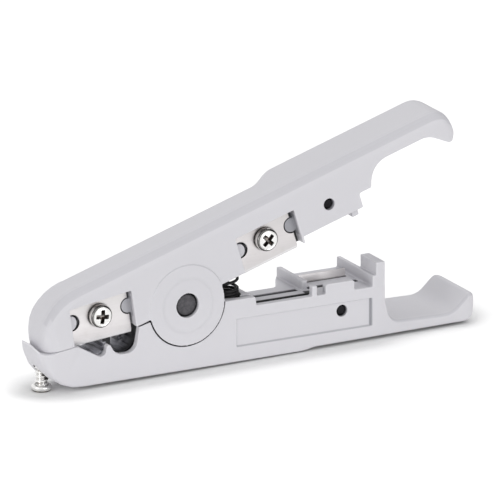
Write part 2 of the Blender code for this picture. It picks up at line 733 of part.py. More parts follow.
def make_upper_arm(material):
    arm = upper_hull()
    cut(arm, upper_under_cutter())
    slot_half = CORE_HALF - DISC_THICKNESS
    cut(arm, cross_cylinder("lug_slot", 0, 0, LUG_RADIUS + GAP, -slot_half, slot_half))
    for index, (near, far) in enumerate(disc_spans(0)):
        span = (-CORE_HALF - DISC_PROUD, far) if index == 0 else (near, CORE_HALF - GAP)
        join(arm, cross_cylinder("disc", 0, 0, DISC_RADIUS, *span))
    for _, screw, turn, length, _, gap in blade_places():
        cut(arm, *lug_reliefs(screw, turn, length), pocket_cutter(screw, turn, length, gap))
        join(arm, *pocket_lugs(screw, turn, length))
        bore = SCREW_SHANK_RADIUS + GAP
        bore_end = depth(POCKET_DEPTH + SCREW_SHANK_LENGTH)
        cut(arm, cross_cylinder("screw_bore", *screw, bore, -FAR_AWAY, bore_end, SMALL_SIDES))
    tab_span = (depth(STOP_TAB_DEPTH[0]), depth(STOP_TAB_DEPTH[1]))
    join(arm, block("stop_tab", STOP_TAB, tab_span, (STOP_TAB_LOW, REAR_BELLY + FENCE_ROOT)))
    half = STRIP_LENGTH / 2 + BLADE_SIDE_GAP
    strip = (depth(STRIP_DEPTH) - GAP, depth(STRIP_DEPTH) + STRIP_THICKNESS + GAP)
    strip_span = (UPPER_STRIP_CENTRE - half, UPPER_STRIP_CENTRE + half)
    cut(
        arm,
        block("strip_slot", strip_span, strip, (-SKY, UPPER_STRIP_ROOT + GAP)),
        strip_pin_hole(UPPER_STRIP_CENTRE, UPPER_PIN_HEIGHT),
        cross_cylinder("pin_bore", 0, 0, PIN_RADIUS + GAP, -FAR_AWAY, FAR_AWAY),
        spring_socket(),
    )
    arm.data.materials.clear()
    arm.data.materials.append(material)
    return arm


def spring_socket():
    """Socket in the belly for the top of the spring, upright while the handles are open."""
    radius = SPRING_RADIUS + SPRING_WIRE / 2 + SPRING_WELL_GAP
    socket = upright("spring_socket", SPRING_X, radius, -TRIM, SPRING_TOP + GAP, SMALL_SIDES)
    socket.data.transform(Matrix.Rotation(REST_TILT, 4, "Y"))
    return socket


def make_blade(name, screw, turn, length, lean, material):
    """Flat blade with a screw hole and a half-round notch at each end."""
    place = blade_frame(screw, turn)
    front, rear = -length / 2, length / 2
    top = BLADE_SCREW_DROP
    front_low, rear_low = [top - BLADE_HEIGHT - (a - EDGE_LEAN_PLACE) * math.tan(lean) for a in (front, rear)]
    back = depth(POCKET_DEPTH - GAP)
    outline = [place(front, front_low), place(rear, rear_low), place(rear, top), place(front, top)]
    blade = side_prism(name, outline, back - BLADE_THICKNESS, back)
    holes = [(place(0, 0), SCREW_SHANK_RADIUS + GAP)]
    holes += [(place(centre, 0), LUG_ROUND + GAP) for centre in notch_centres(length)]
    for (a, b), radius in holes:
        cut(blade, cross_cylinder("hole", a, b, radius, -FAR_AWAY, FAR_AWAY, SMALL_SIDES))
    blade.data.materials.append(material)
    return blade


def make_blade_screw(name, screw, material):
    """Pan-head cross-recess screw, its head on the blade."""
    seat = POCKET_DEPTH - 2 * GAP - BLADE_THICKNESS
    dome = SCREW_DOME
    head = SCREW_HEAD_HEIGHT
    profile = [
        (0, -SCREW_SHANK_LENGTH + GAP),
        (SCREW_SHANK_RADIUS, -SCREW_SHANK_LENGTH + GAP),
        (SCREW_SHANK_RADIUS, 0),
        (SCREW_HEAD_RADIUS, 0),
        (SCREW_HEAD_RADIUS, head - 2 * dome),
        (SCREW_HEAD_RADIUS - dome * 0.6, head - 0.8 * dome),
        (SCREW_HEAD_RADIUS * 0.5, head - dome * 0.15),
        (0, head),
    ]
    piece = named_object(name, turned(name, profile, SMALL_SIDES), material)
    for x, y in ((CROSS_REACH, CROSS_WIDTH / 2), (CROSS_WIDTH / 2, CROSS_REACH)):
        cut(piece, block("cross", (-x, x), (-y, y), (head - CROSS_DEPTH, head + TRIM)))
    piece.rotation_euler = (math.pi / 2, 0, 0)
    piece.location = (screw[0], depth(seat), screw[1])
    return piece


def make_strip(arm, centre, heights, pin_height, steel, dark):
    """Stripping blade that stands in an arm's slot, and the pin that holds it."""
    near = depth(STRIP_DEPTH)
    span = (centre - STRIP_LENGTH / 2, centre + STRIP_LENGTH / 2)
    blade = block(arm + "_strip_blade", span, (near, near + STRIP_THICKNESS), heights)
    hole = STRIP_PIN_RADIUS + GAP
    cut(blade, cross_cylinder("hole", centre, pin_height, hole, -FAR_AWAY, FAR_AWAY, SMALL_SIDES))
    blade.data.materials.append(steel)
    pin_span = (depth(STRIP_PIN_RECESS), depth(STRIP_PIN_END))
    return [blade, make_cross_pin(arm + "_blade_pin", centre, pin_height, STRIP_PIN_RADIUS, *pin_span, dark)]


def make_cross_pin(name, a, b, radius, near, far, material):
    pin = cross_cylinder(name, a, b, radius, near, far, SMALL_SIDES)
    pin.data.materials.append(material)
    return pin


def helix_point(turn, low, high):
    share = turn / SPRING_TURNS
    angle = 2 * math.pi * turn
    height = low + (high - low) * share
    return Vector((SPRING_RADIUS * math.cos(angle), SPRING_RADIUS * math.sin(angle), height))


def make_spring(material):
    """Open-coiled spring: one unbroken wire between its two seats."""
    low = SPRING_SEAT + GAP + SPRING_WIRE / 2
    high = SPRING_TOP - SPRING_WIRE / 2
    steps = SPRING_TURNS * SPRING_POINTS_PER_TURN
    points = [helix_point(step / SPRING_POINTS_PER_TURN, low, high) for step in range(steps + 1)]
    curve = bpy.data.curves.new("return_spring", "CURVE")
    curve.dimensions = "3D"
    curve.bevel_depth = SPRING_WIRE / 2
    curve.bevel_resolution = 1
    curve.use_fill_caps = True
    spline = curve.splines.new("POLY")
    spline.points.add(len(points) - 1)
    for target, point in zip(spline.points, points):
        target.co = (*point, 1.0)
    spring = bpy.data.objects.new("return_spring", curve)
    bpy.context.collection.objects.link(spring)
    spring.location = (SPRING_X, 0, PIVOT_HEIGHT)
    curve.materials.append(material)
    apart = SPRING_POINTS_PER_TURN // 2
    pairs = ((a, b) for i, a in enumerate(points) for b in points[i + apart:])
    gap = min((a - b).length for a, b in pairs) - SPRING_WIRE
    print(f"return_spring least gap to itself {gap * 1000:.2f} mm")
    return spring


def adjuster_profile(length):
    """Head, neck and ridged shank of the adjusting screw, from the head's face upwards."""
    bevel = ADJUSTER_HEAD_BEVEL
    head = ADJUSTER_HEAD_HEIGHT
    profile = [(0, 0), (ADJUSTER_HEAD_RADIUS - bevel, 0), (ADJUSTER_HEAD_RADIUS, bevel)]
    profile += [(ADJUSTER_HEAD_RADIUS, head - bevel), (ADJUSTER_HEAD_RADIUS - bevel, head)]
    height = head
    while height + ADJUSTER_PITCH < length:
        profile.append((ADJUSTER_ROOT_RADIUS, height + ADJUSTER_PITCH * 0.1))
        profile.append((ADJUSTER_THREAD_RADIUS, height + ADJUSTER_PITCH * 0.45))
        profile.append((ADJUSTER_THREAD_RADIUS, height + ADJUSTER_PITCH * 0.6))
        height += ADJUSTER_PITCH
    profile.append((ADJUSTER_ROOT_RADIUS, height + ADJUSTER_PITCH * 0.1))
    return profile + [(ADJUSTER_ROOT_RADIUS, length), (0, length)]


def make_adjuster(material):
    """Adjusting screw up through the lower nose; its tip stops the upper jaw."""
    jaw = PIVOT_HEIGHT + nose_seam(ADJUSTER_X - ADJUSTER_ROOT_RADIUS)
    length = jaw - ADJUSTER_TIP_GAP - ADJUSTER_HEAD_LOW
    mesh = turned("adjusting_screw", adjuster_profile(length), ADJUSTER_SIDES)
    piece = named_object("adjusting_screw", mesh, material)
    for x, y in ((CROSS_REACH, CROSS_WIDTH / 2), (CROSS_WIDTH / 2, CROSS_REACH)):
        cut(piece, block("cross", (-x, x), (-y, y), (-TRIM, CROSS_DEPTH)))
    piece.location = (ADJUSTER_X, 0, ADJUSTER_HEAD_LOW)
    return piece


def shade(piece):
    if piece.type == "MESH":
        piece.data.shade_smooth()
        piece.data.set_sharp_from_angle(angle=math.radians(32))


def build():
    clear_scene()
    plastic = finish("grey_plastic", (0.64, 0.63, 0.66), 0.42, 0.0)
    steel = finish("blade_steel", (0.80, 0.78, 0.75), 0.28, 1.0)
    nickel = finish("nickel_screw", (0.78, 0.77, 0.75), 0.22, 1.0)
    dark = finish("dark_pin_steel", (0.075, 0.075, 0.080), 0.45, 0.7)
    black = finish("black_spring_wire", (0.02, 0.02, 0.022), 0.40, 0.6)

    pivot = bpy.data.objects.new("upper_arm_pivot", None)
    bpy.context.collection.objects.link(pivot)
    pivot.location = (0, 0, PIVOT_HEIGHT)
    pivot.rotation_euler = (0, -REST_TILT, 0)

    make_lower_arm(plastic)
    upper = [make_upper_arm(plastic)]
    for name, screw, turn, length, lean, _ in blade_places():
        upper.append(make_blade(name, screw, turn, length, lean, steel))
        upper.append(make_blade_screw(name + "_screw", screw, nickel))
    upper_strip = (UPPER_STRIP_EDGE, UPPER_STRIP_ROOT)
    upper += make_strip("upper", UPPER_STRIP_CENTRE, upper_strip, UPPER_PIN_HEIGHT, steel, dark)
    for piece in upper:
        piece.parent = pivot

    lower_strip = (LOWER_STRIP_ROOT, LOWER_STRIP_EDGE)
    fixed = make_strip("lower", STRIP_CENTRE, lower_strip, LOWER_PIN_HEIGHT, steel, dark)
    pin_span = (depth(PIN_RECESS), CORE_HALF - PIN_RECESS)
    fixed.append(make_cross_pin("pivot_pin", 0, 0, PIN_RADIUS, *pin_span, dark))
    for piece in fixed:
        piece.location = (0, 0, PIVOT_HEIGHT)
    make_spring(black)
    make_adjuster(nickel)
    for piece in bpy.data.objects:
        shade(piece)


build()
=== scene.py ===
"""Looks of the cable stripper: moulded grey arms, ground blades, plated screws, dark pins and a black spring."""

import json
import math

import bmesh
import bpy
from mathutils import Matrix, Vector


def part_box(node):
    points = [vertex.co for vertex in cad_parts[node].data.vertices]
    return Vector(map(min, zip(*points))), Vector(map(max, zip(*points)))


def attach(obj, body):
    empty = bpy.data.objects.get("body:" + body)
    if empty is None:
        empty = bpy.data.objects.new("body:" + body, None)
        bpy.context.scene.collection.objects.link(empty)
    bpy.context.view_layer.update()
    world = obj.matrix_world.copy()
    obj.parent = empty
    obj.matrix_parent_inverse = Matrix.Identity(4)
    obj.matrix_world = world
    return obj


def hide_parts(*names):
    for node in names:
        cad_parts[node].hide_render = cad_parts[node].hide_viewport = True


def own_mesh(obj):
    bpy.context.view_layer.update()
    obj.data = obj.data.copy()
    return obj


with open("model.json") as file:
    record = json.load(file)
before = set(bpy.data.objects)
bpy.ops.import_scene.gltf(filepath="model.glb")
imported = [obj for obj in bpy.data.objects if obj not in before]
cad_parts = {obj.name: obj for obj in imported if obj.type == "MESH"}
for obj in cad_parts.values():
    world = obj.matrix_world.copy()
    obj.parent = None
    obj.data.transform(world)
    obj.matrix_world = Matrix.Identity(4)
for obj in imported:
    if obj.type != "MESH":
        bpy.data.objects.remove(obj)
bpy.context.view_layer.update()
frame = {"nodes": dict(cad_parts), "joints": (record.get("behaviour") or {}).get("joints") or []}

# The two frames: the lower arm's is the row frame, the upper arm's is tilted about the pivot
JOINTS = {joint["name"]: joint for joint in frame["joints"]}
PIVOT = Vector(JOINTS["handle_hinge"]["pos_m"])
REST_TILT = math.radians(17.5)
UPPER = Matrix.Translation(PIVOT) @ Matrix.Rotation(-REST_TILT, 4, "Y")

# Fine skins are made in millimetres, because the remesh has a smallest step
WORK_SCALE = 1000.0

# Moulded arms
ARM_VOXEL = 0.00018
ARM_SMOOTHING = 3
ARM_TRIANGLES = 110000
DISC_RING_RADIUS = 0.0073
DISC_RING_WIDTH = 0.0007

# Where shade is painted on the arms, and the recessed label panel, as spans in X, Y and Z
JAW_NOTCHES = ((-0.0325, -0.0138), (-0.0043, 0.0050), (0.0040, 0.0146))
RIDGE_TOP = ((-0.0236, -0.0190), (-0.0040, -0.0010), (0.0105, 0.0140))
CUP_START = -0.0222
FRONT_POCKET_FLOOR = ((-0.0340, -0.0130), (-0.0033, -0.0020), (0.0120, 0.0300))
REAR_POCKET_FLOOR = ((0.0120, 0.0370), (-0.0033, -0.0020), (0.0200, 0.0420))
FRONT_LUG = ((-0.0191, -0.0136), (-0.0050, -0.0020), (0.0170, 0.0225))
REAR_LUG = ((0.0301, 0.0362), (-0.0050, -0.0020), (0.0322, 0.0380))
CUTTING_SLOT = ((0.0185, 0.0391), (-0.0042, -0.0025), (0.0060, 0.0153))
SLOT_END = ((0.0370, 0.0391), (-0.0042, -0.0009), (0.0060, 0.0153))
TABLE_GROOVE = ((0.0185, 0.0560), (0.0003, 0.0023), (0.0060, 0.0149))
LABEL_PANEL = ((0.0147, 0.0550), (-0.0058, -0.0050), (0.0044, 0.0120))
PANEL_RIGHT_EDGE = ((0.0545, 0.0553), (-0.00605, -0.0050), (0.0044, 0.0120))
PANEL_LOWER_EDGE = ((0.0147, 0.0552), (-0.00605, -0.0050), (0.0042, 0.0047))
DARK_SOFTNESS = 0.0003
NOSE_SEAM_END = -0.0320
NOSE_SEAM_TOP = 0.0150
NOSE_FILL = 0.00007

# Blades
FRONT_BLADE_LENGTH = 0.0175
REAR_BLADE_LENGTH = 0.01675
BLADE_HEIGHT = 0.0110
FRONT_EDGE_LEAN = math.radians(3.3)
EDGE_LEAN_PLACE = -0.0029
BLADE_SCREW_DROP = 0.0042
BLADE_NOTCH_RADIUS = 0.0023
FRONT_NOTCH_SHIFT = 0.0007
BLADE_HOLE_RADIUS = 0.0017
BLADE_GRIND = 0.0009
BLADE_EDGE = 0.00012
FRONT_BLADE_TURN = math.radians(9.0)
STRIP_ROUND = 0.00010

# Screws
SCREW_SIDES = 72
SCREW_VOXEL = 0.00007
SCREW_TRIANGLES = 9000
HEAD_DOME = 0.00055
HEAD_HEIGHT = 0.0022
HEAD_RIM = 0.00040
SHANK_RADIUS = 0.0014
WING_REACH = 0.0019
WING_WIDTH = 0.00105
WING_TAPER = 0.62
RECESS_DEPTH = 0.0013

# Adjusting screw
THREAD_PITCH = 0.0013
THREAD_DEPTH = 0.0005
THREAD_STEPS = 16
ADJUSTER_SIDES = 64
ADJUSTER_HEAD_HEIGHT = 0.0016
ADJUSTER_HEAD_ROUND = 0.00055
ADJUSTER_ROOT = 0.0013

# Pins and spring
PIN_SIDES = 64
PIN_CHAMFER = 0.00025
SPRING_WIRE = 0.0008
SPRING_TURNS = 8.5
SPRING_CLOSED_TURNS = 6.0
SPRING_END_TURNS = 0.8
SPRING_STEPS = 40

# Studio
VIEW_AZIMUTH = math.radians(-28.1)
VIEW_ELEVATION = math.radians(17.1)
VIEW_TARGET = Vector((0.02192, 0.0001, 0.02837))
VIEW_DISTANCE = 4.8
VIEW_WIDTH = 0.1316
SENSOR = 36.0
FLOOR_SIZE = 6.0
HEEL_X = 0.0340
FLOOR_SHADOW_REACH = 0.012


class Wire:
    """A shader socket that Python arithmetic works on."""

    def __init__(self, finish, socket):
        self.finish = finish
        self.socket = socket

    def maths(self, operation, first, second):
        return self.finish.node("ShaderNodeMath", {"operation": operation}, {0: first, 1: second})

    def __add__(self, other):
        return self.maths("ADD", self, other)

    __radd__ = __add__

    def __mul__(self, other):
        return self.maths("MULTIPLY", self, other)

    __rmul__ = __mul__

    def __sub__(self, other):
        return self.maths("SUBTRACT", self, other)

    def __rsub__(self, other):
        return self.maths("SUBTRACT", other, self)

    def __pow__(self, other):
        return self.maths("POWER", self, other)

    def most(self, other):
        return self.maths("MAXIMUM", self, other)

    def between(self, low, high):
        """0 at low, 1 at high, smooth in between."""
        settings = {"interpolation_type": "SMOOTHSTEP"}
        return self.finish.node("ShaderNodeMapRange", settings, {"Value": self, "From Min": low, "From Max": high})


class Finish:
    """A node tree with one method that makes a node, and the few recipes that the finishes share."""

    def __init__(self, owner):
        self.owner = owner
        owner.use_nodes = True
        self.tree = owner.node_tree
        self.start = None

    def node(self, kind, settings=None, sockets=None, output=0):
        made = self.tree.nodes.new(kind)
        for name, value in (settings or {}).items():
            setattr(made, name, value)
        for name, value in (sockets or {}).items():
            self.feed(made.inputs[name], value)
        return Wire(self, made.outputs[output])

    def feed(self, target, value):
        if isinstance(value, Wire):
            self.tree.links.new(value.socket, target)
        else:
            target.default_value = value

    def place(self):
        """Coordinates on the piece at rest, in metres."""
        if self.start is None:
            self.start = self.node("ShaderNodeTexCoord", output="Object")
        return self.start

    def stretched(self, scale, turn=0.0):
        """Coordinates turned in the side view and stretched."""
        sockets = {"Vector": self.place(), "Rotation": (0.0, turn, 0.0), "Scale": scale}
        return self.node("ShaderNodeMapping", {"vector_type": "POINT"}, sockets)

    def grain(self, size, detail=2.0, rough=0.5, where=None):
        """Noise from 0 to 1 whose spots are about size across."""
        sockets = {"Vector": where or self.place(), "Scale": 1.0 / size, "Detail": detail, "Roughness": rough}
        return self.node("ShaderNodeTexNoise", None, sockets)

    def colour(self, share, first, second):
        """Colour between two others."""
        settings = {"data_type": "RGBA"}
        sockets = {"Factor": share, 6: first, 7: second}
        return self.node("ShaderNodeMix", settings, sockets, output=2)

    def bump(self, height, distance, strength):
        return self.node("ShaderNodeBump", None, {"Height": height, "Distance": distance, "Strength": strength})

    def hollows(self, reach, alone=False):
        """1 on open surfaces, falling to 0 deep in slots and seams, of the piece alone or of all pieces."""
        settings = {"samples": 8, "only_local": alone}
        return self.node("ShaderNodeAmbientOcclusion", settings, {"Distance": reach}, output="AO")

    def edges(self, reach):
        """0 on broad surfaces, rising along outer edges."""
        settings = {"samples": 8, "only_local": True, "inside": True}
        thin = self.node("ShaderNodeAmbientOcclusion", settings, {"Distance": reach}, output="AO")
        return thin.between(0.90, 0.58)

    def slant(self, name):
        """How far the surface at rest faces along an axis, from -1 to 1."""
        normal = self.node("ShaderNodeTexCoord", output="Normal")
        return self.node("ShaderNodeSeparateXYZ", None, {"Vector": normal}, output=name)

    def axis(self, name):
        """One coordinate of the place."""
        return self.node("ShaderNodeSeparateXYZ", None, {"Vector": self.place()}, output=name)


def rgb(red, green, blue):
    return (red, green, blue, 1.0)


def new_finish(name, constants, varying):
    """Principled material: constants on its own sockets, then what varies over the surface."""
    finish = Finish(bpy.data.materials.new(name))
    shader = finish.tree.nodes["Principled BSDF"]
    for socket, value in constants.items():
        shader.inputs[socket].default_value = value
    for socket, value in varying(finish).items():
        finish.feed(shader.inputs[socket], value)
    return finish.owner


def plastic_finish():
    """Light cool grey moulding: flow marks, satin grain, painted highlights along outer edges, painted light towards
    the foot, and painted shade in creases, hollows, slots, on the shoulder and round the lugs.
    """

    def varying(finish):
        flow = finish.grain(0.030, 3.0, 0.55)
        cloud = finish.grain(0.006, 2.0)
        satin = finish.grain(0.00035, 3.0, 0.6)
        # Painted highlight: paler along outer edges.
        painted_edge_highlight = finish.edges(0.0006)
        # Painted shade: darker in the hollows and creases of each arm.
        painted_hollow_shade = finish.hollows(0.0045, alone=True).between(0.86, 0.40) * 0.58
        painted_crease_shade = finish.hollows(0.0006).between(0.88, 0.50) * 0.65
        panel = inside(finish, LABEL_PANEL)
        ring = disc_ring(finish) * finish.slant("Y").between(-0.80, -0.95)
        eroded = finish.grain(0.00022, 2.0, 0.7) * panel
        body = finish.colour(flow, rgb(0.660, 0.653, 0.686), rgb(0.688, 0.680, 0.712))
        # Painted light: paler towards the foot of the lower arm.
        foot = finish.axis("Z").between(0.024, 0.004) * finish.axis("X").between(0.066, 0.050)
        body = finish.colour(foot * 0.8, body, rgb(0.720, 0.712, 0.745))
        # Painted shade on the rounded shoulder between the top and the near side.
        body = finish.colour(shoulder(finish) * 0.22, body, rgb(0.25, 0.25, 0.285))
        body = finish.colour(painted_edge_highlight * 0.60, body, rgb(0.82, 0.815, 0.84))
        body = finish.colour((panel * 0.02).most(ring * 0.08), body, rgb(0.40, 0.395, 0.42))
        body = finish.colour(painted_hollow_shade.most(painted_crease_shade) * away_from_nose(finish), body, rgb(0.25, 0.25, 0.285))
        # Painted shade round the lugs and along two sides of the panel.
        body = finish.colour(painted_lug_panel_shade(finish), body, rgb(0.20, 0.205, 0.23))
        # Painted shade, near black, in seams, notches, pocket floors and slots.
        body = finish.colour(painted_slot_shade(finish), body, painted_shade_colour(finish))
        return {
            "Base Color": body,
            "Roughness": 0.42 + cloud * 0.10 + satin * 0.04 + panel * 0.12,
            "Normal": finish.bump(satin * 0.05 + eroded * 0.10 + ring * 2.5, 0.00006, 0.5),
        }

    return new_finish("moulded_grey_plastic", {"Specular IOR Level": 0.35}, varying)


def shoulder(finish):
    """1 on the rounded shoulder between the top and the near side, where shade is painted."""
    facing = finish.slant("Y")
    turned = facing.between(-0.02, -0.45) * facing.between(-0.98, -0.80)
    return turned * finish.slant("Z").between(0.15, 0.40)


def away_from_nose(finish):
    """0 along the seam round the nose, which gets no painted shade, 1 elsewhere."""
    behind = finish.axis("X").between(NOSE_SEAM_END - 0.002, NOSE_SEAM_END)
    above = finish.axis("Z").between(NOSE_SEAM_TOP, NOSE_SEAM_TOP + 0.002)
    return behind.most(above)


def inside(finish, spans):
    """1 in a box with soft sides."""
    share = 1.0
    for name, (low, high) in zip("XYZ", spans):
        place = finish.axis(name)
        share = share * place.between(low - DARK_SOFTNESS / 2, low + DARK_SOFTNESS / 2)
        share = share * place.between(high + DARK_SOFTNESS / 2, high - DARK_SOFTNESS / 2)
    return share


def painted_lug_panel_shade(finish):
    """Painted grey shade round the lugs at the blades' rear ends and along two sides of the recessed label panel."""
    lugs = (inside(finish, FRONT_LUG) * 0.45).most(inside(finish, REAR_LUG) * 0.65)
    sides = (inside(finish, PANEL_RIGHT_EDGE) * 0.75).most(inside(finish, PANEL_LOWER_EDGE) * 0.30)
    return lugs.most(sides)


def painted_slot_shade(finish):
    """Share of painted shade: in fine seams, in the jaw's notches, on the pockets' floors and in the slots of the
    table.
    """
    seam = finish.hollows(0.0014).between(0.58, 0.18) * 0.90 * away_from_nose(finish)
    notches = inside(finish, JAW_NOTCHES)
    slots = inside(finish, CUTTING_SLOT).most(inside(finish, SLOT_END))
    slots = slots.most(inside(finish, TABLE_GROOVE) * 0.75)
    floors = inside(finish, FRONT_POCKET_FLOOR).most(inside(finish, REAR_POCKET_FLOOR)) * 0.97
    floors = floors * finish.slant("Y").between(-0.60, -0.90)
    return seam.most(notches).most(slots).most(floors)


def painted_shade_colour(finish):
    """Near black painted shade; in the jaw's notches grey with streaks that run inwards, darkest at the front of the
    cup.
    """
    streak = finish.grain(1.0, 2.0, 0.5, finish.stretched((1100.0, 110.0, 1100.0)))
    streaked = finish.colour(streak.between(0.36, 0.62), rgb(0.10, 0.10, 0.12), rgb(0.62, 0.62, 0.68))
    vee = inside(finish, JAW_NOTCHES) * finish.axis("X").between(CUP_START, CUP_START - 0.001)
    cup = inside(finish, JAW_NOTCHES) * finish.axis("Y").between(-0.0030, 0.0010)
    cup = cup * (0.30 + 0.70 * finish.axis("X").between(-0.0140, -0.0190))
    pale = vee.most(cup) * (1.0 - inside(finish, RIDGE_TOP))
    return finish.colour(pale, rgb(0.012, 0.012, 0.015), streaked)


def disc_ring(finish):
    """Faint turned ring round the pivot."""
    along = finish.axis("X") - PIVOT.x
    up = finish.axis("Z") - PIVOT.z
    radius = (along * along + up * up) ** 0.5
    inner = radius.between(DISC_RING_RADIUS - DISC_RING_WIDTH, DISC_RING_RADIUS)
    outer = radius.between(DISC_RING_RADIUS + DISC_RING_WIDTH, DISC_RING_RADIUS)
    return inner * outer


def steel_finish(name, turn, tone, fade, metal=1.0):
    """Ground blade steel: streaks along the grind, faint stains, painted shade darker towards its top and round the
    screw.
    """

    def varying(finish):
        along = finish.stretched((60.0, 900.0, 3200.0), turn)
        streak = finish.grain(1.0, 3.0, 0.6, along)
        stain = finish.grain(0.004, 3.0, 0.6)
        # Painted shade round the screw head.
        painted_head_shade = finish.hollows(0.0008).between(0.86, 0.50)
        bright = rgb(tone + 0.05, tone + 0.025, tone + 0.028)
        body = finish.colour(streak, rgb(tone - 0.05, tone - 0.075, tone - 0.072), bright)
        # Painted shade: darker towards the blade's top.
        body = finish.colour(finish.axis("Z").between(*fade) * 0.8, body, rgb(tone - 0.12, tone - 0.135, tone - 0.14))
        body = finish.colour(stain.between(0.56, 0.75) * 0.30, body, rgb(tone - 0.10, tone - 0.12, tone - 0.14))
        body = finish.colour(painted_head_shade * 0.85, body, rgb(0.05, 0.05, 0.05))
        bevel = finish.slant("Z").between(-0.15, -0.30)
        body = finish.colour(bevel, body, rgb(0.84, 0.83, 0.835))
        return {
            "Base Color": body,
            "Metallic": metal - bevel * (0.8 * metal),
            "Roughness": 0.26 + streak * 0.12 + stain * 0.08,
            "Normal": finish.bump(streak, 0.000004, 0.5),
        }

    return new_finish(name, {}, varying)


def nickel_finish(name, reach, shade_and_dirt_span, painted_rim_share):
    """Bright plate, darkened in its hollows by painted shade mixed with brown dirt of old oil, and, where the share is
    set, by a painted dark reflection along its rim.
    """

    def varying(finish):
        cloud = finish.grain(0.0012, 3.0, 0.6)
        # Painted shade in the hollows, mixed with brown dirt.
        oil = finish.hollows(reach).between(*shade_and_dirt_span)
        facing = finish.slant("Y")
        # Painted dark reflection along the rounded rim.
        painted_dark_rim = facing.between(-0.99, -0.93) * facing.between(-0.05, -0.30) * painted_rim_share
        body = finish.colour(cloud, rgb(0.78, 0.775, 0.765), rgb(0.90, 0.895, 0.88))
        body = finish.colour(painted_dark_rim, body, rgb(0.10, 0.095, 0.09))
        shade_and_dirt_colour = finish.colour(cloud.between(0.46, 0.66), rgb(0.045, 0.037, 0.033), rgb(0.34, 0.27, 0.23))
        body = finish.colour(oil * 0.88, body, shade_and_dirt_colour)
        return {"Base Color": body, "Roughness": 0.12 + cloud * 0.10 + oil * 0.15}

    return new_finish(name, {"Metallic": 1.0}, varying)


def pin_finish(name, sheen):
    """Dark oxide steel with a mottled sawn end, painted near black as shade down in a hole."""

    def varying(finish):
        mottle = finish.grain(0.0009, 4.0, 0.65)
        scratch = finish.grain(1.0, 2.0, 0.5, finish.stretched((700.0, 300.0, 5200.0), math.radians(35)))
        # Painted shade: near black down in a hole.
        painted_hole_shade = finish.hollows(0.0040).between(0.98, 0.70)
        body = finish.colour(mottle.between(0.3, 0.7), rgb(0.055, 0.053, 0.060), rgb(0.115, 0.110, 0.122))
        # A low sheen paints the whole pin near black as shade.
        body = finish.colour(painted_hole_shade.most(1.0 - sheen) * 0.85, body, rgb(0.010, 0.010, 0.011))
        return {
            "Base Color": body,
            "Roughness": 0.45 + mottle * 0.18,
            "Normal": finish.bump(mottle * 0.7 + scratch * 0.3, 0.00003, 0.6),
        }

    return new_finish(name, {"Metallic": 0.2 * sheen, "Specular IOR Level": 0.5 * sheen}, varying)


def spring_finish():
    """Black spring wire with a thin oil sheen."""

    def varying(finish):
        cloud = finish.grain(0.0007, 3.0, 0.6)
        body = finish.colour(cloud, rgb(0.006, 0.006, 0.007), rgb(0.018, 0.018, 0.020))
        return {"Base Color": body, "Roughness": 0.40 + cloud * 0.18}

    return new_finish("black_spring_wire", {"Specular IOR Level": 0.30}, varying)


def new_piece(name, mesh, material, body, slot, *nodes):
    """Object that stands for CAD nodes, rides on a body and takes the given finish; its slot is not used."""
    piece = bpy.data.objects.new(name, mesh)
    bpy.context.scene.collection.objects.link(piece)
    mesh.materials.clear()
    mesh.materials.append(material)
    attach(piece, body)
    if nodes:
        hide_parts(*nodes)
    return piece


def mesh_of(bm, name):
    bmesh.ops.recalc_face_normals(bm, faces=bm.faces)
    mesh = bpy.data.meshes.new(name)
    bm.to_mesh(mesh)
    bm.free()
    mesh.shade_smooth()
    return mesh


def worked(mesh, *steps):
    """Mesh after a row of modifiers, each given as (kind, settings)."""
    helper = bpy.data.objects.new("helper", mesh)
    bpy.context.scene.collection.objects.link(helper)
    for kind, settings in steps:
        modifier = helper.modifiers.new(kind, kind)
        for name, value in settings.items():
            setattr(modifier, name, value)
    graph = bpy.context.evaluated_depsgraph_get()
    made = bpy.data.meshes.new_from_object(helper.evaluated_get(graph))
    bpy.data.objects.remove(helper)
    return made


def without(mesh, cutter_mesh):
    """Mesh with a cutter's shape taken out."""
    cutter = bpy.data.objects.new("cutter", cutter_mesh)
    bpy.context.scene.collection.objects.link(cutter)
    settings = {"operation": "DIFFERENCE", "solver": "EXACT", "use_self": True, "object": cutter}
    made = worked(mesh, ("BOOLEAN", settings))
    bpy.data.objects.remove(cutter)
    return made


def softened(mesh, voxel, passes, triangles):
    """Even skin over a mesh, its edges rounded by smoothing, then thinned where it is flat."""
    mesh.transform(Matrix.Scale(WORK_SCALE, 4))
    skin = worked(
        mesh,
        ("REMESH", {"mode": "VOXEL", "voxel_size": voxel * WORK_SCALE}),
        ("SMOOTH", {"factor": 0.5, "iterations": passes}),
    )
    skin.shade_smooth()
    share = min(1.0, triangles / (2 * len(skin.polygons)))
    thin = shaded_like(worked(skin, ("DECIMATE", {"ratio": share})), skin)
    thin.transform(Matrix.Scale(1 / WORK_SCALE, 4))
    return thin


def shaded_like(mesh, model):
    """Mesh that takes its shading from a finer one of the same shape."""
    mesh.shade_smooth()
    source = bpy.data.objects.new("source", model)
    bpy.context.scene.collection.objects.link(source)
    settings = {"object": source, "use_loop_data": True, "data_types_loops": {"CUSTOM_NORMAL"}}
    settings["loop_mapping"] = "POLYINTERP_NEAREST"
    made = worked(mesh, ("DATA_TRANSFER", settings))
    bpy.data.objects.remove(source)
    return made


def cad_mesh(node):
    """Copy of a CAD node's mesh with its split corners joined."""
    bm = bmesh.new()
    bm.from_mesh(frame["nodes"][node].data)
    bmesh.ops.remove_doubles(bm, verts=bm.verts, dist=1e-7)
    return mesh_of(bm, node + "_copy")


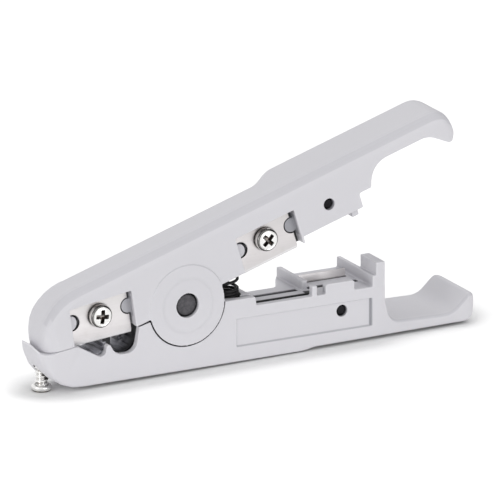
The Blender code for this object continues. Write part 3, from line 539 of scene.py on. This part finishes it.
def lathe(name, profile, sides):
    """Solid of revolution about Z from (radius, height) points, first and last on the axis."""
    bm = bmesh.new()
    first = bm.verts.new((0, 0, profile[0][1]))
    last = bm.verts.new((0, 0, profile[-1][1]))
    rings = []
    for radius, height in profile[1:-1]:
        turns = [2 * math.pi * side / sides for side in range(sides)]
        rings.append([bm.verts.new((radius * math.cos(t), radius * math.sin(t), height)) for t in turns])
    skin_rings(bm, rings, first, last)
    return mesh_of(bm, name)


def skin_rings(bm, rings, first, last):
    """Faces between closed rings of vertices, with a fan at each end."""
    for ring, following in zip(rings, rings[1:]):
        for side in range(len(ring)):
            after = (side + 1) % len(ring)
            bm.faces.new((ring[side], ring[after], following[after], following[side]))
    for ring, tip in ((rings[0], first), (rings[-1], last)):
        for side in range(len(ring)):
            bm.faces.new((ring[side], ring[(side + 1) % len(ring)], tip))


def plate(name, outline, near, far):
    """Outline in X and Z made solid from near to far in Y."""
    bm = bmesh.new()
    face = bm.faces.new([bm.verts.new((a, near, b)) for a, b in outline])
    moved = bmesh.ops.extrude_face_region(bm, geom=[face])["geom"]
    verts = [item for item in moved if isinstance(item, bmesh.types.BMVert)]
    bmesh.ops.translate(bm, verts=verts, vec=(0, far - near, 0))
    return mesh_of(bm, name)


def arc(centre, radius, start, end, steps):
    """Points of an arc, angles in degrees."""
    for step in range(steps + 1):
        turn = math.radians(start + (end - start) * step / steps)
        yield centre[0] + radius * math.cos(turn), centre[1] + radius * math.sin(turn)


def make_arm(node, body, material):
    """Arm with rounded edges, its skin a little full at the nose so that the seam there is fine."""
    mesh = softened(cad_mesh(node), ARM_VOXEL, ARM_SMOOTHING, ARM_TRIANGLES)
    full = [(vertex, vertex.normal.copy()) for vertex in mesh.vertices if vertex.co.x < NOSE_SEAM_END]
    for vertex, normal in full:
        vertex.co += normal * NOSE_FILL
    new_piece(node + "_moulding", mesh, material, body, "plastic", node)


def middle(node):
    low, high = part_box(node)
    return (low + high) / 2


def blade_edge(place, lean):
    """Height of a blade's cutting edge at a place along it."""
    return BLADE_SCREW_DROP - BLADE_HEIGHT - (place - EDGE_LEAN_PLACE) * math.tan(lean)


def blade_outline(length, lean):
    """Blade in its own frame, round its screw: half-round notches in both ends."""
    half = length / 2
    outline = [(-half, blade_edge(-half, lean)), (half, blade_edge(half, lean))]
    outline += arc((half, 0), BLADE_NOTCH_RADIUS, 270, 90, 20)
    outline += [(half, BLADE_SCREW_DROP), (-half, BLADE_SCREW_DROP)]
    spread = 180 - math.degrees(math.acos(FRONT_NOTCH_SHIFT / BLADE_NOTCH_RADIUS))
    outline += arc((FRONT_NOTCH_SHIFT - half, 0), BLADE_NOTCH_RADIUS, spread, -spread, 20)
    return outline


def ground_wedge(length, low, near, far):
    """Cutter that grinds the near side of a blade down to its edge."""
    overrun = BLADE_GRIND
    slope = (far - BLADE_EDGE - near) / BLADE_GRIND
    outline = [(near - overrun * slope, low + 2 * overrun), (far - BLADE_EDGE, low), (far - BLADE_EDGE, low - overrun)]
    outline += [(near - overrun * slope, low - overrun)]
    bm = bmesh.new()
    face = bm.faces.new([bm.verts.new((-length, y, z)) for y, z in outline])
    moved = bmesh.ops.extrude_face_region(bm, geom=[face])["geom"]
    verts = [item for item in moved if isinstance(item, bmesh.types.BMVert)]
    bmesh.ops.translate(bm, verts=verts, vec=(2 * length, 0, 0))
    return mesh_of(bm, "wedge")


def crisp(mesh):
    """Smooth shading with the edges kept."""
    mesh.shade_smooth()
    mesh.set_sharp_from_angle(angle=math.radians(28))
    return mesh


def make_blade(node, tilt, length, lean, material):
    low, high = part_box(node)
    screw = middle(node + "_screw")
    mesh = plate(node, blade_outline(length, lean), low.y, high.y)
    hole = list(arc((0, 0), BLADE_HOLE_RADIUS, 0, 360, 32))[:-1]
    mesh = without(mesh, plate("hole", hole, low.y - BLADE_GRIND, high.y + BLADE_GRIND))
    wedge = ground_wedge(length, blade_edge(EDGE_LEAN_PLACE, lean), low.y, high.y)
    lean_about = Matrix.Translation((EDGE_LEAN_PLACE, 0, blade_edge(EDGE_LEAN_PLACE, lean)))
    wedge.transform(lean_about @ Matrix.Rotation(lean, 4, "Y") @ lean_about.inverted())
    mesh = without(mesh, wedge)
    mesh.transform(Matrix.Translation((screw.x, 0, screw.z)) @ Matrix.Rotation(-tilt, 4, "Y"))
    new_piece(node + "_ground", crisp(mesh), material, "upper_body", "blade_steel", node)


def recess_cutter(depth, overrun):
    """Tapered cross, its mouth in the plane Z = 0."""
    bm = bmesh.new()
    for turn in (0.0, math.pi / 2):
        ring = []
        for height, share in ((overrun, 1.0 + (1 - WING_TAPER) * overrun / depth), (-depth, WING_TAPER)):
            long, wide = WING_REACH * share, WING_WIDTH / 2 * share
            corners = [(-long, -wide), (long, -wide), (long, wide), (-long, wide)]
            spin = Matrix.Rotation(turn, 2)
            ring.append([bm.verts.new((*(spin @ Vector(corner)), height)) for corner in corners])
        top, root = ring
        bm.faces.new(top)
        bm.faces.new(root[::-1])
        for side in range(4):
            after = (side + 1) % 4
            bm.faces.new((top[side], top[after], root[after], root[side]))
    return mesh_of(bm, "recess")


def pan_head_screw(radius, length):
    """Pan-head screw along Z with its head's underside at Z = 0."""
    profile = [(0, -length), (SHANK_RADIUS * 0.7, -length), (SHANK_RADIUS, -length + SHANK_RADIUS * 0.5)]
    profile += [(SHANK_RADIUS, 0), (radius, 0)]
    shoulder = HEAD_HEIGHT - HEAD_DOME - HEAD_RIM
    profile.append((radius, shoulder))
    for a, b in arc((radius - 2 * HEAD_RIM, shoulder), 2 * HEAD_RIM, 15, 75, 5):
        profile.append((a, b))
    for step in range(1, 9):
        share = 1 - step / 9
        profile.append(((radius - HEAD_RIM) * share, HEAD_HEIGHT - HEAD_DOME * share ** 2 * 0.6))
    profile.append((0, HEAD_HEIGHT))
    mesh = lathe("screw", profile, SCREW_SIDES)
    cutter = recess_cutter(RECESS_DEPTH, HEAD_DOME)
    cutter.transform(Matrix.Translation((0, 0, HEAD_HEIGHT - HEAD_DOME * 0.15)))
    return softened(without(mesh, cutter), SCREW_VOXEL, 3, SCREW_TRIANGLES)


def make_blade_screws(material):
    for node, turn in (("front_blade_screw", 22.5), ("rear_blade_screw", 62.0)):
        low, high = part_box(node)
        centre = middle(node)
        mesh = pan_head_screw((high.x - low.x) / 2, high.y - low.y - HEAD_HEIGHT)
        stand = Matrix.Translation((centre.x, low.y + HEAD_HEIGHT, centre.z))
        stand = stand @ Matrix.Rotation(-REST_TILT + math.radians(turn), 4, "Y") @ Matrix.Rotation(math.pi / 2, 4, "X")
        mesh.transform(stand)
        new_piece(node + "_plated", mesh, material, "upper_body", "nickel", node)


def thread_radius(height, turn):
    """Radius of a rounded 60 degree thread at a height and an angle."""
    phase = (height / THREAD_PITCH - turn / (2 * math.pi)) % 1.0
    rise = 1 - abs(2 * phase - 1)
    share = min(1.0, max(0.0, (rise - 0.12) / 0.70))
    return ADJUSTER_ROOT + THREAD_DEPTH * share


def make_adjusting_screw(material):
    low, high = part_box("adjusting_screw")
    centre = middle("adjusting_screw")
    head = (high.x - low.x) / 2
    length = high.z - low.z
    turns = [2 * math.pi * side / ADJUSTER_SIDES for side in range(ADJUSTER_SIDES)]
    rows = [(0.5 * head, 0.0)]
    for a, b in arc((head - ADJUSTER_HEAD_ROUND, ADJUSTER_HEAD_ROUND), ADJUSTER_HEAD_ROUND, -90, 0, 6):
        rows.append((a, b))
    for a, b in arc((head - ADJUSTER_HEAD_ROUND, ADJUSTER_HEAD_HEIGHT - ADJUSTER_HEAD_ROUND), ADJUSTER_HEAD_ROUND, 0, 90, 6):
        rows.append((a, b))
    bm = bmesh.new()
    rings = []
    for radius, height in rows:
        rings.append([bm.verts.new((radius * math.cos(t), radius * math.sin(t), height)) for t in turns])
    steps = int((length - ADJUSTER_HEAD_HEIGHT) / THREAD_PITCH * THREAD_STEPS)
    for step in range(steps + 1):
        height = ADJUSTER_HEAD_HEIGHT + (length - ADJUSTER_HEAD_HEIGHT) * step / steps
        fade = min(1.0, (length - height) / THREAD_PITCH)
        ring = []
        for t in turns:
            radius = thread_radius(height, t)
            radius = ADJUSTER_ROOT + (radius - ADJUSTER_ROOT) * fade
            ring.append(bm.verts.new((radius * math.cos(t), radius * math.sin(t), height)))
        rings.append(ring)
    skin_rings(bm, rings, bm.verts.new((0, 0, 0)), bm.verts.new((0, 0, length)))
    mesh = mesh_of(bm, "adjusting_screw_plated")
    cutter = recess_cutter(RECESS_DEPTH, HEAD_DOME)
    cutter.transform(Matrix.Rotation(math.pi, 4, "X"))
    mesh = without(mesh, cutter)
    mesh.transform(Matrix.Translation((centre.x, centre.y, low.z)))
    new_piece("adjusting_screw_plated", crisp(mesh), material, "adjuster", "nickel", "adjusting_screw")


def make_pin(node, body, material):
    """Cross pin with chamfered ends."""
    low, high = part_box(node)
    centre = middle(node)
    radius = (high.x - low.x) / 2
    half = (high.y - low.y) / 2
    profile = [(0, -half), (radius * 0.5, -half), (radius - PIN_CHAMFER, -half), (radius, -half + PIN_CHAMFER)]
    profile += [(a, -b) for a, b in profile[::-1]]
    mesh = lathe(node, profile, PIN_SIDES)
    mesh.transform(Matrix.Translation(centre) @ Matrix.Rotation(math.pi / 2, 4, "X"))
    new_piece(node + "_turned", crisp(mesh), material, body, "dark_pin", node)


def make_strip_blade(node, body, material):
    """Stripping blade with its corners just broken."""
    settings = {"width": STRIP_ROUND, "segments": 2, "limit_method": "ANGLE"}
    mesh = worked(cad_mesh(node), ("BEVEL", settings))
    new_piece(node + "_ground", crisp(mesh), material, body, "blade_steel", node)


def spring_height(turn, low, high):
    """Height along the spring: wound close at the foot, open above and flat at the top."""
    open_turns = SPRING_TURNS - SPRING_CLOSED_TURNS - SPRING_END_TURNS
    closed = SPRING_WIRE * 1.08
    if turn < SPRING_CLOSED_TURNS:
        return low + closed * turn
    share = min(1.0, (turn - SPRING_CLOSED_TURNS) / open_turns)
    foot = low + closed * SPRING_CLOSED_TURNS
    return foot + (high - foot) * share


def make_spring(material):
    low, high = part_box("return_spring")
    centre = middle("return_spring")
    radius = (high.x - low.x) / 2 - SPRING_WIRE / 2
    curve = bpy.data.curves.new("return_spring_coil", "CURVE")
    curve.dimensions = "3D"
    curve.bevel_depth = SPRING_WIRE / 2
    curve.bevel_resolution = 4
    curve.use_fill_caps = True
    count = int(SPRING_TURNS * SPRING_STEPS)
    spline = curve.splines.new("POLY")
    spline.points.add(count)
    for step, point in enumerate(spline.points):
        turn = SPRING_TURNS * step / count
        angle = 2 * math.pi * turn
        height = spring_height(turn, low.z + SPRING_WIRE / 2, high.z - SPRING_WIRE / 2)
        point.co = (centre.x + radius * math.cos(angle), centre.y + radius * math.sin(angle), height, 1.0)
    mesh = mesh_from_curve(curve)
    piece = new_piece("return_spring_coil", mesh, material, "lower_body", "spring_black", "return_spring")
    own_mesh(piece)


def mesh_from_curve(curve):
    helper = bpy.data.objects.new("helper", curve)
    bpy.context.scene.collection.objects.link(helper)
    graph = bpy.context.evaluated_depsgraph_get()
    mesh = bpy.data.meshes.new_from_object(helper.evaluated_get(graph))
    bpy.data.objects.remove(helper)
    mesh.shade_smooth()
    return mesh


def make_camera():
    data = bpy.data.cameras.new("photo_view")
    data.sensor_width = SENSOR
    data.lens = SENSOR * VIEW_DISTANCE / VIEW_WIDTH
    camera = bpy.data.objects.new("photo_view", data)
    bpy.context.scene.collection.objects.link(camera)
    level = math.cos(VIEW_ELEVATION)
    back = Vector((math.sin(VIEW_AZIMUTH) * level, -math.cos(VIEW_AZIMUTH) * level, math.sin(VIEW_ELEVATION)))
    camera.location = VIEW_TARGET + back * VIEW_DISTANCE
    camera.rotation_mode = "QUATERNION"
    camera.rotation_quaternion = (-back).to_track_quat("-Z", "Y")
    bpy.context.scene.camera = camera


def shown_rays(finish):
    """1 for rays that a viewer, a gloss or a glass sends, 0 for the light that falls on the object."""
    path = finish.tree.nodes.new("ShaderNodeLightPath")
    seen = Wire(finish, path.outputs["Is Camera Ray"]) + Wire(finish, path.outputs["Is Glossy Ray"])
    return seen + Wire(finish, path.outputs["Is Transmission Ray"])


def make_floor():
    """Pale floor through the adjusting screw's head and the heel of the lower arm."""
    low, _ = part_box("adjusting_screw")
    lean = math.atan2(-low.z, HEEL_X - middle("adjusting_screw").x)
    half = FLOOR_SIZE / 2
    mesh = bpy.data.meshes.new("floor")
    mesh.from_pydata([(-half, -half, 0), (half, -half, 0), (half, half, 0), (-half, half, 0)], [], [(0, 1, 2, 3)])
    floor = bpy.data.objects.new("floor", mesh)
    bpy.context.scene.collection.objects.link(floor)
    floor.rotation_euler = (0, -lean, 0)
    floor.location = (HEEL_X, 0, 0)
    mesh.materials.append(floor_finish())


def floor_finish():
    """White floor: it shines for the viewer, except close under the part, where its glow fades into a painted shadow
    over the real one.
    """
    finish = Finish(bpy.data.materials.new("pale_floor"))
    shader = finish.tree.nodes["Principled BSDF"]
    shader.inputs["Base Color"].default_value = rgb(0.90, 0.90, 0.90)
    shader.inputs["Roughness"].default_value = 0.9
    shader.inputs["Specular IOR Level"].default_value = 0.0
    shader.inputs["Emission Strength"].default_value = 1.0
    # Painted shadow: the glow fades close under the part.
    clear = 0.06 + 0.94 * finish.hollows(FLOOR_SHADOW_REACH).between(0.70, 0.97)
    glow = finish.colour(shown_rays(finish) * clear, rgb(0, 0, 0), rgb(0.34, 0.34, 0.34))
    finish.feed(shader.inputs["Emission Color"], glow)
    return finish.owner


def make_world():
    """Even pale room, a little brighter in front, white to the viewer and banded in the polish of metal."""
    world = bpy.data.worlds.new("studio")
    bpy.context.scene.world = world
    finish = Finish(world)
    direction = finish.node("ShaderNodeTexCoord", output="Generated")
    along, across, height = [
        finish.node("ShaderNodeSeparateXYZ", None, {"Vector": direction}, output=name) for name in "XYZ"
    ]
    front = (across * -1.0).between(-0.2, 0.9) * height.between(0.80, 0.10)
    room = finish.colour(front, rgb(0.58, 0.58, 0.58), rgb(0.92, 0.92, 0.92))
    dark = along.between(0.35, 0.75) * height.between(-0.2, 0.1)
    bands = finish.colour(dark, rgb(1, 1, 1), rgb(0.06, 0.06, 0.06))
    path = finish.tree.nodes.new("ShaderNodeLightPath")
    camera_ray, glossy_ray = [Wire(finish, path.outputs[name]) for name in ("Is Camera Ray", "Is Glossy Ray")]
    shown = finish.colour(glossy_ray, room, bands)
    background = finish.tree.nodes["Background"]
    finish.feed(background.inputs["Color"], finish.colour(camera_ray, shown, rgb(1, 1, 1)))
    background.inputs["Strength"].default_value = 1.0


def make_lamp(name, place, target, size, power):
    data = bpy.data.lights.new(name, "AREA")
    data.shape = "RECTANGLE"
    data.size, data.size_y = size
    data.energy = power
    lamp = bpy.data.objects.new(name, data)
    bpy.context.scene.collection.objects.link(lamp)
    lamp.location = place
    lamp.rotation_mode = "QUATERNION"
    lamp.rotation_quaternion = (Vector(target) - Vector(place)).to_track_quat("-Z", "Y")


def make_lamps():
    make_lamp("overhead", (0.25, 0.25, 1.10), (0.02, 0.0, 0.02), (0.8, 0.6), 2.75)
    make_lamp("key", (0.30, -1.15, 0.20), (0.02, 0.0, 0.02), (0.7, 0.35), 2.8)
    make_lamp("side", (-1.10, -0.25, 0.25), (0.0, 0.0, 0.02), (0.6, 0.5), 2.65)


def build():
    bpy.context.scene.view_settings.view_transform = "Standard"
    plastic = plastic_finish()
    # Pins down in holes, painted near black as shade.
    painted_shade_pin = pin_finish("dark_oxide_pin_painted_shade", 0.05)
    make_arm("lower_arm", "lower_body", plastic)
    make_arm("upper_arm", "upper_body", plastic)
    front_tilt = REST_TILT - FRONT_BLADE_TURN
    front_steel = steel_finish("front_blade_steel", front_tilt, 0.72, (0.014, 0.024))
    make_blade("front_blade", front_tilt, FRONT_BLADE_LENGTH, FRONT_EDGE_LEAN, front_steel)
    rear_steel = steel_finish("rear_blade_steel", REST_TILT, 0.64, (0.030, 0.040))
    make_blade("rear_blade", REST_TILT, REAR_BLADE_LENGTH, 0.0, rear_steel)
    make_blade_screws(nickel_finish("bright_nickel", 0.0020, (0.90, 0.62), 0.88))
    make_adjusting_screw(nickel_finish("bright_nickel_thread", 0.0011, (0.80, 0.46), 0.0))
    make_pin("pivot_pin", "lower_body", pin_finish("dark_oxide_pin", 1.0))
    make_pin("lower_blade_pin", "lower_body", painted_shade_pin)
    make_pin("upper_blade_pin", "upper_body", painted_shade_pin)
    strip_steel = steel_finish("strip_blade_steel", 0.0, 0.68, (0.020, 0.024), 0.4)
    make_strip_blade("lower_strip_blade", "lower_body", strip_steel)
    make_strip_blade("upper_strip_blade", "upper_body", strip_steel)
    make_spring(spring_finish())
    make_camera()
    make_floor()
    make_world()
    make_lamps()


build()
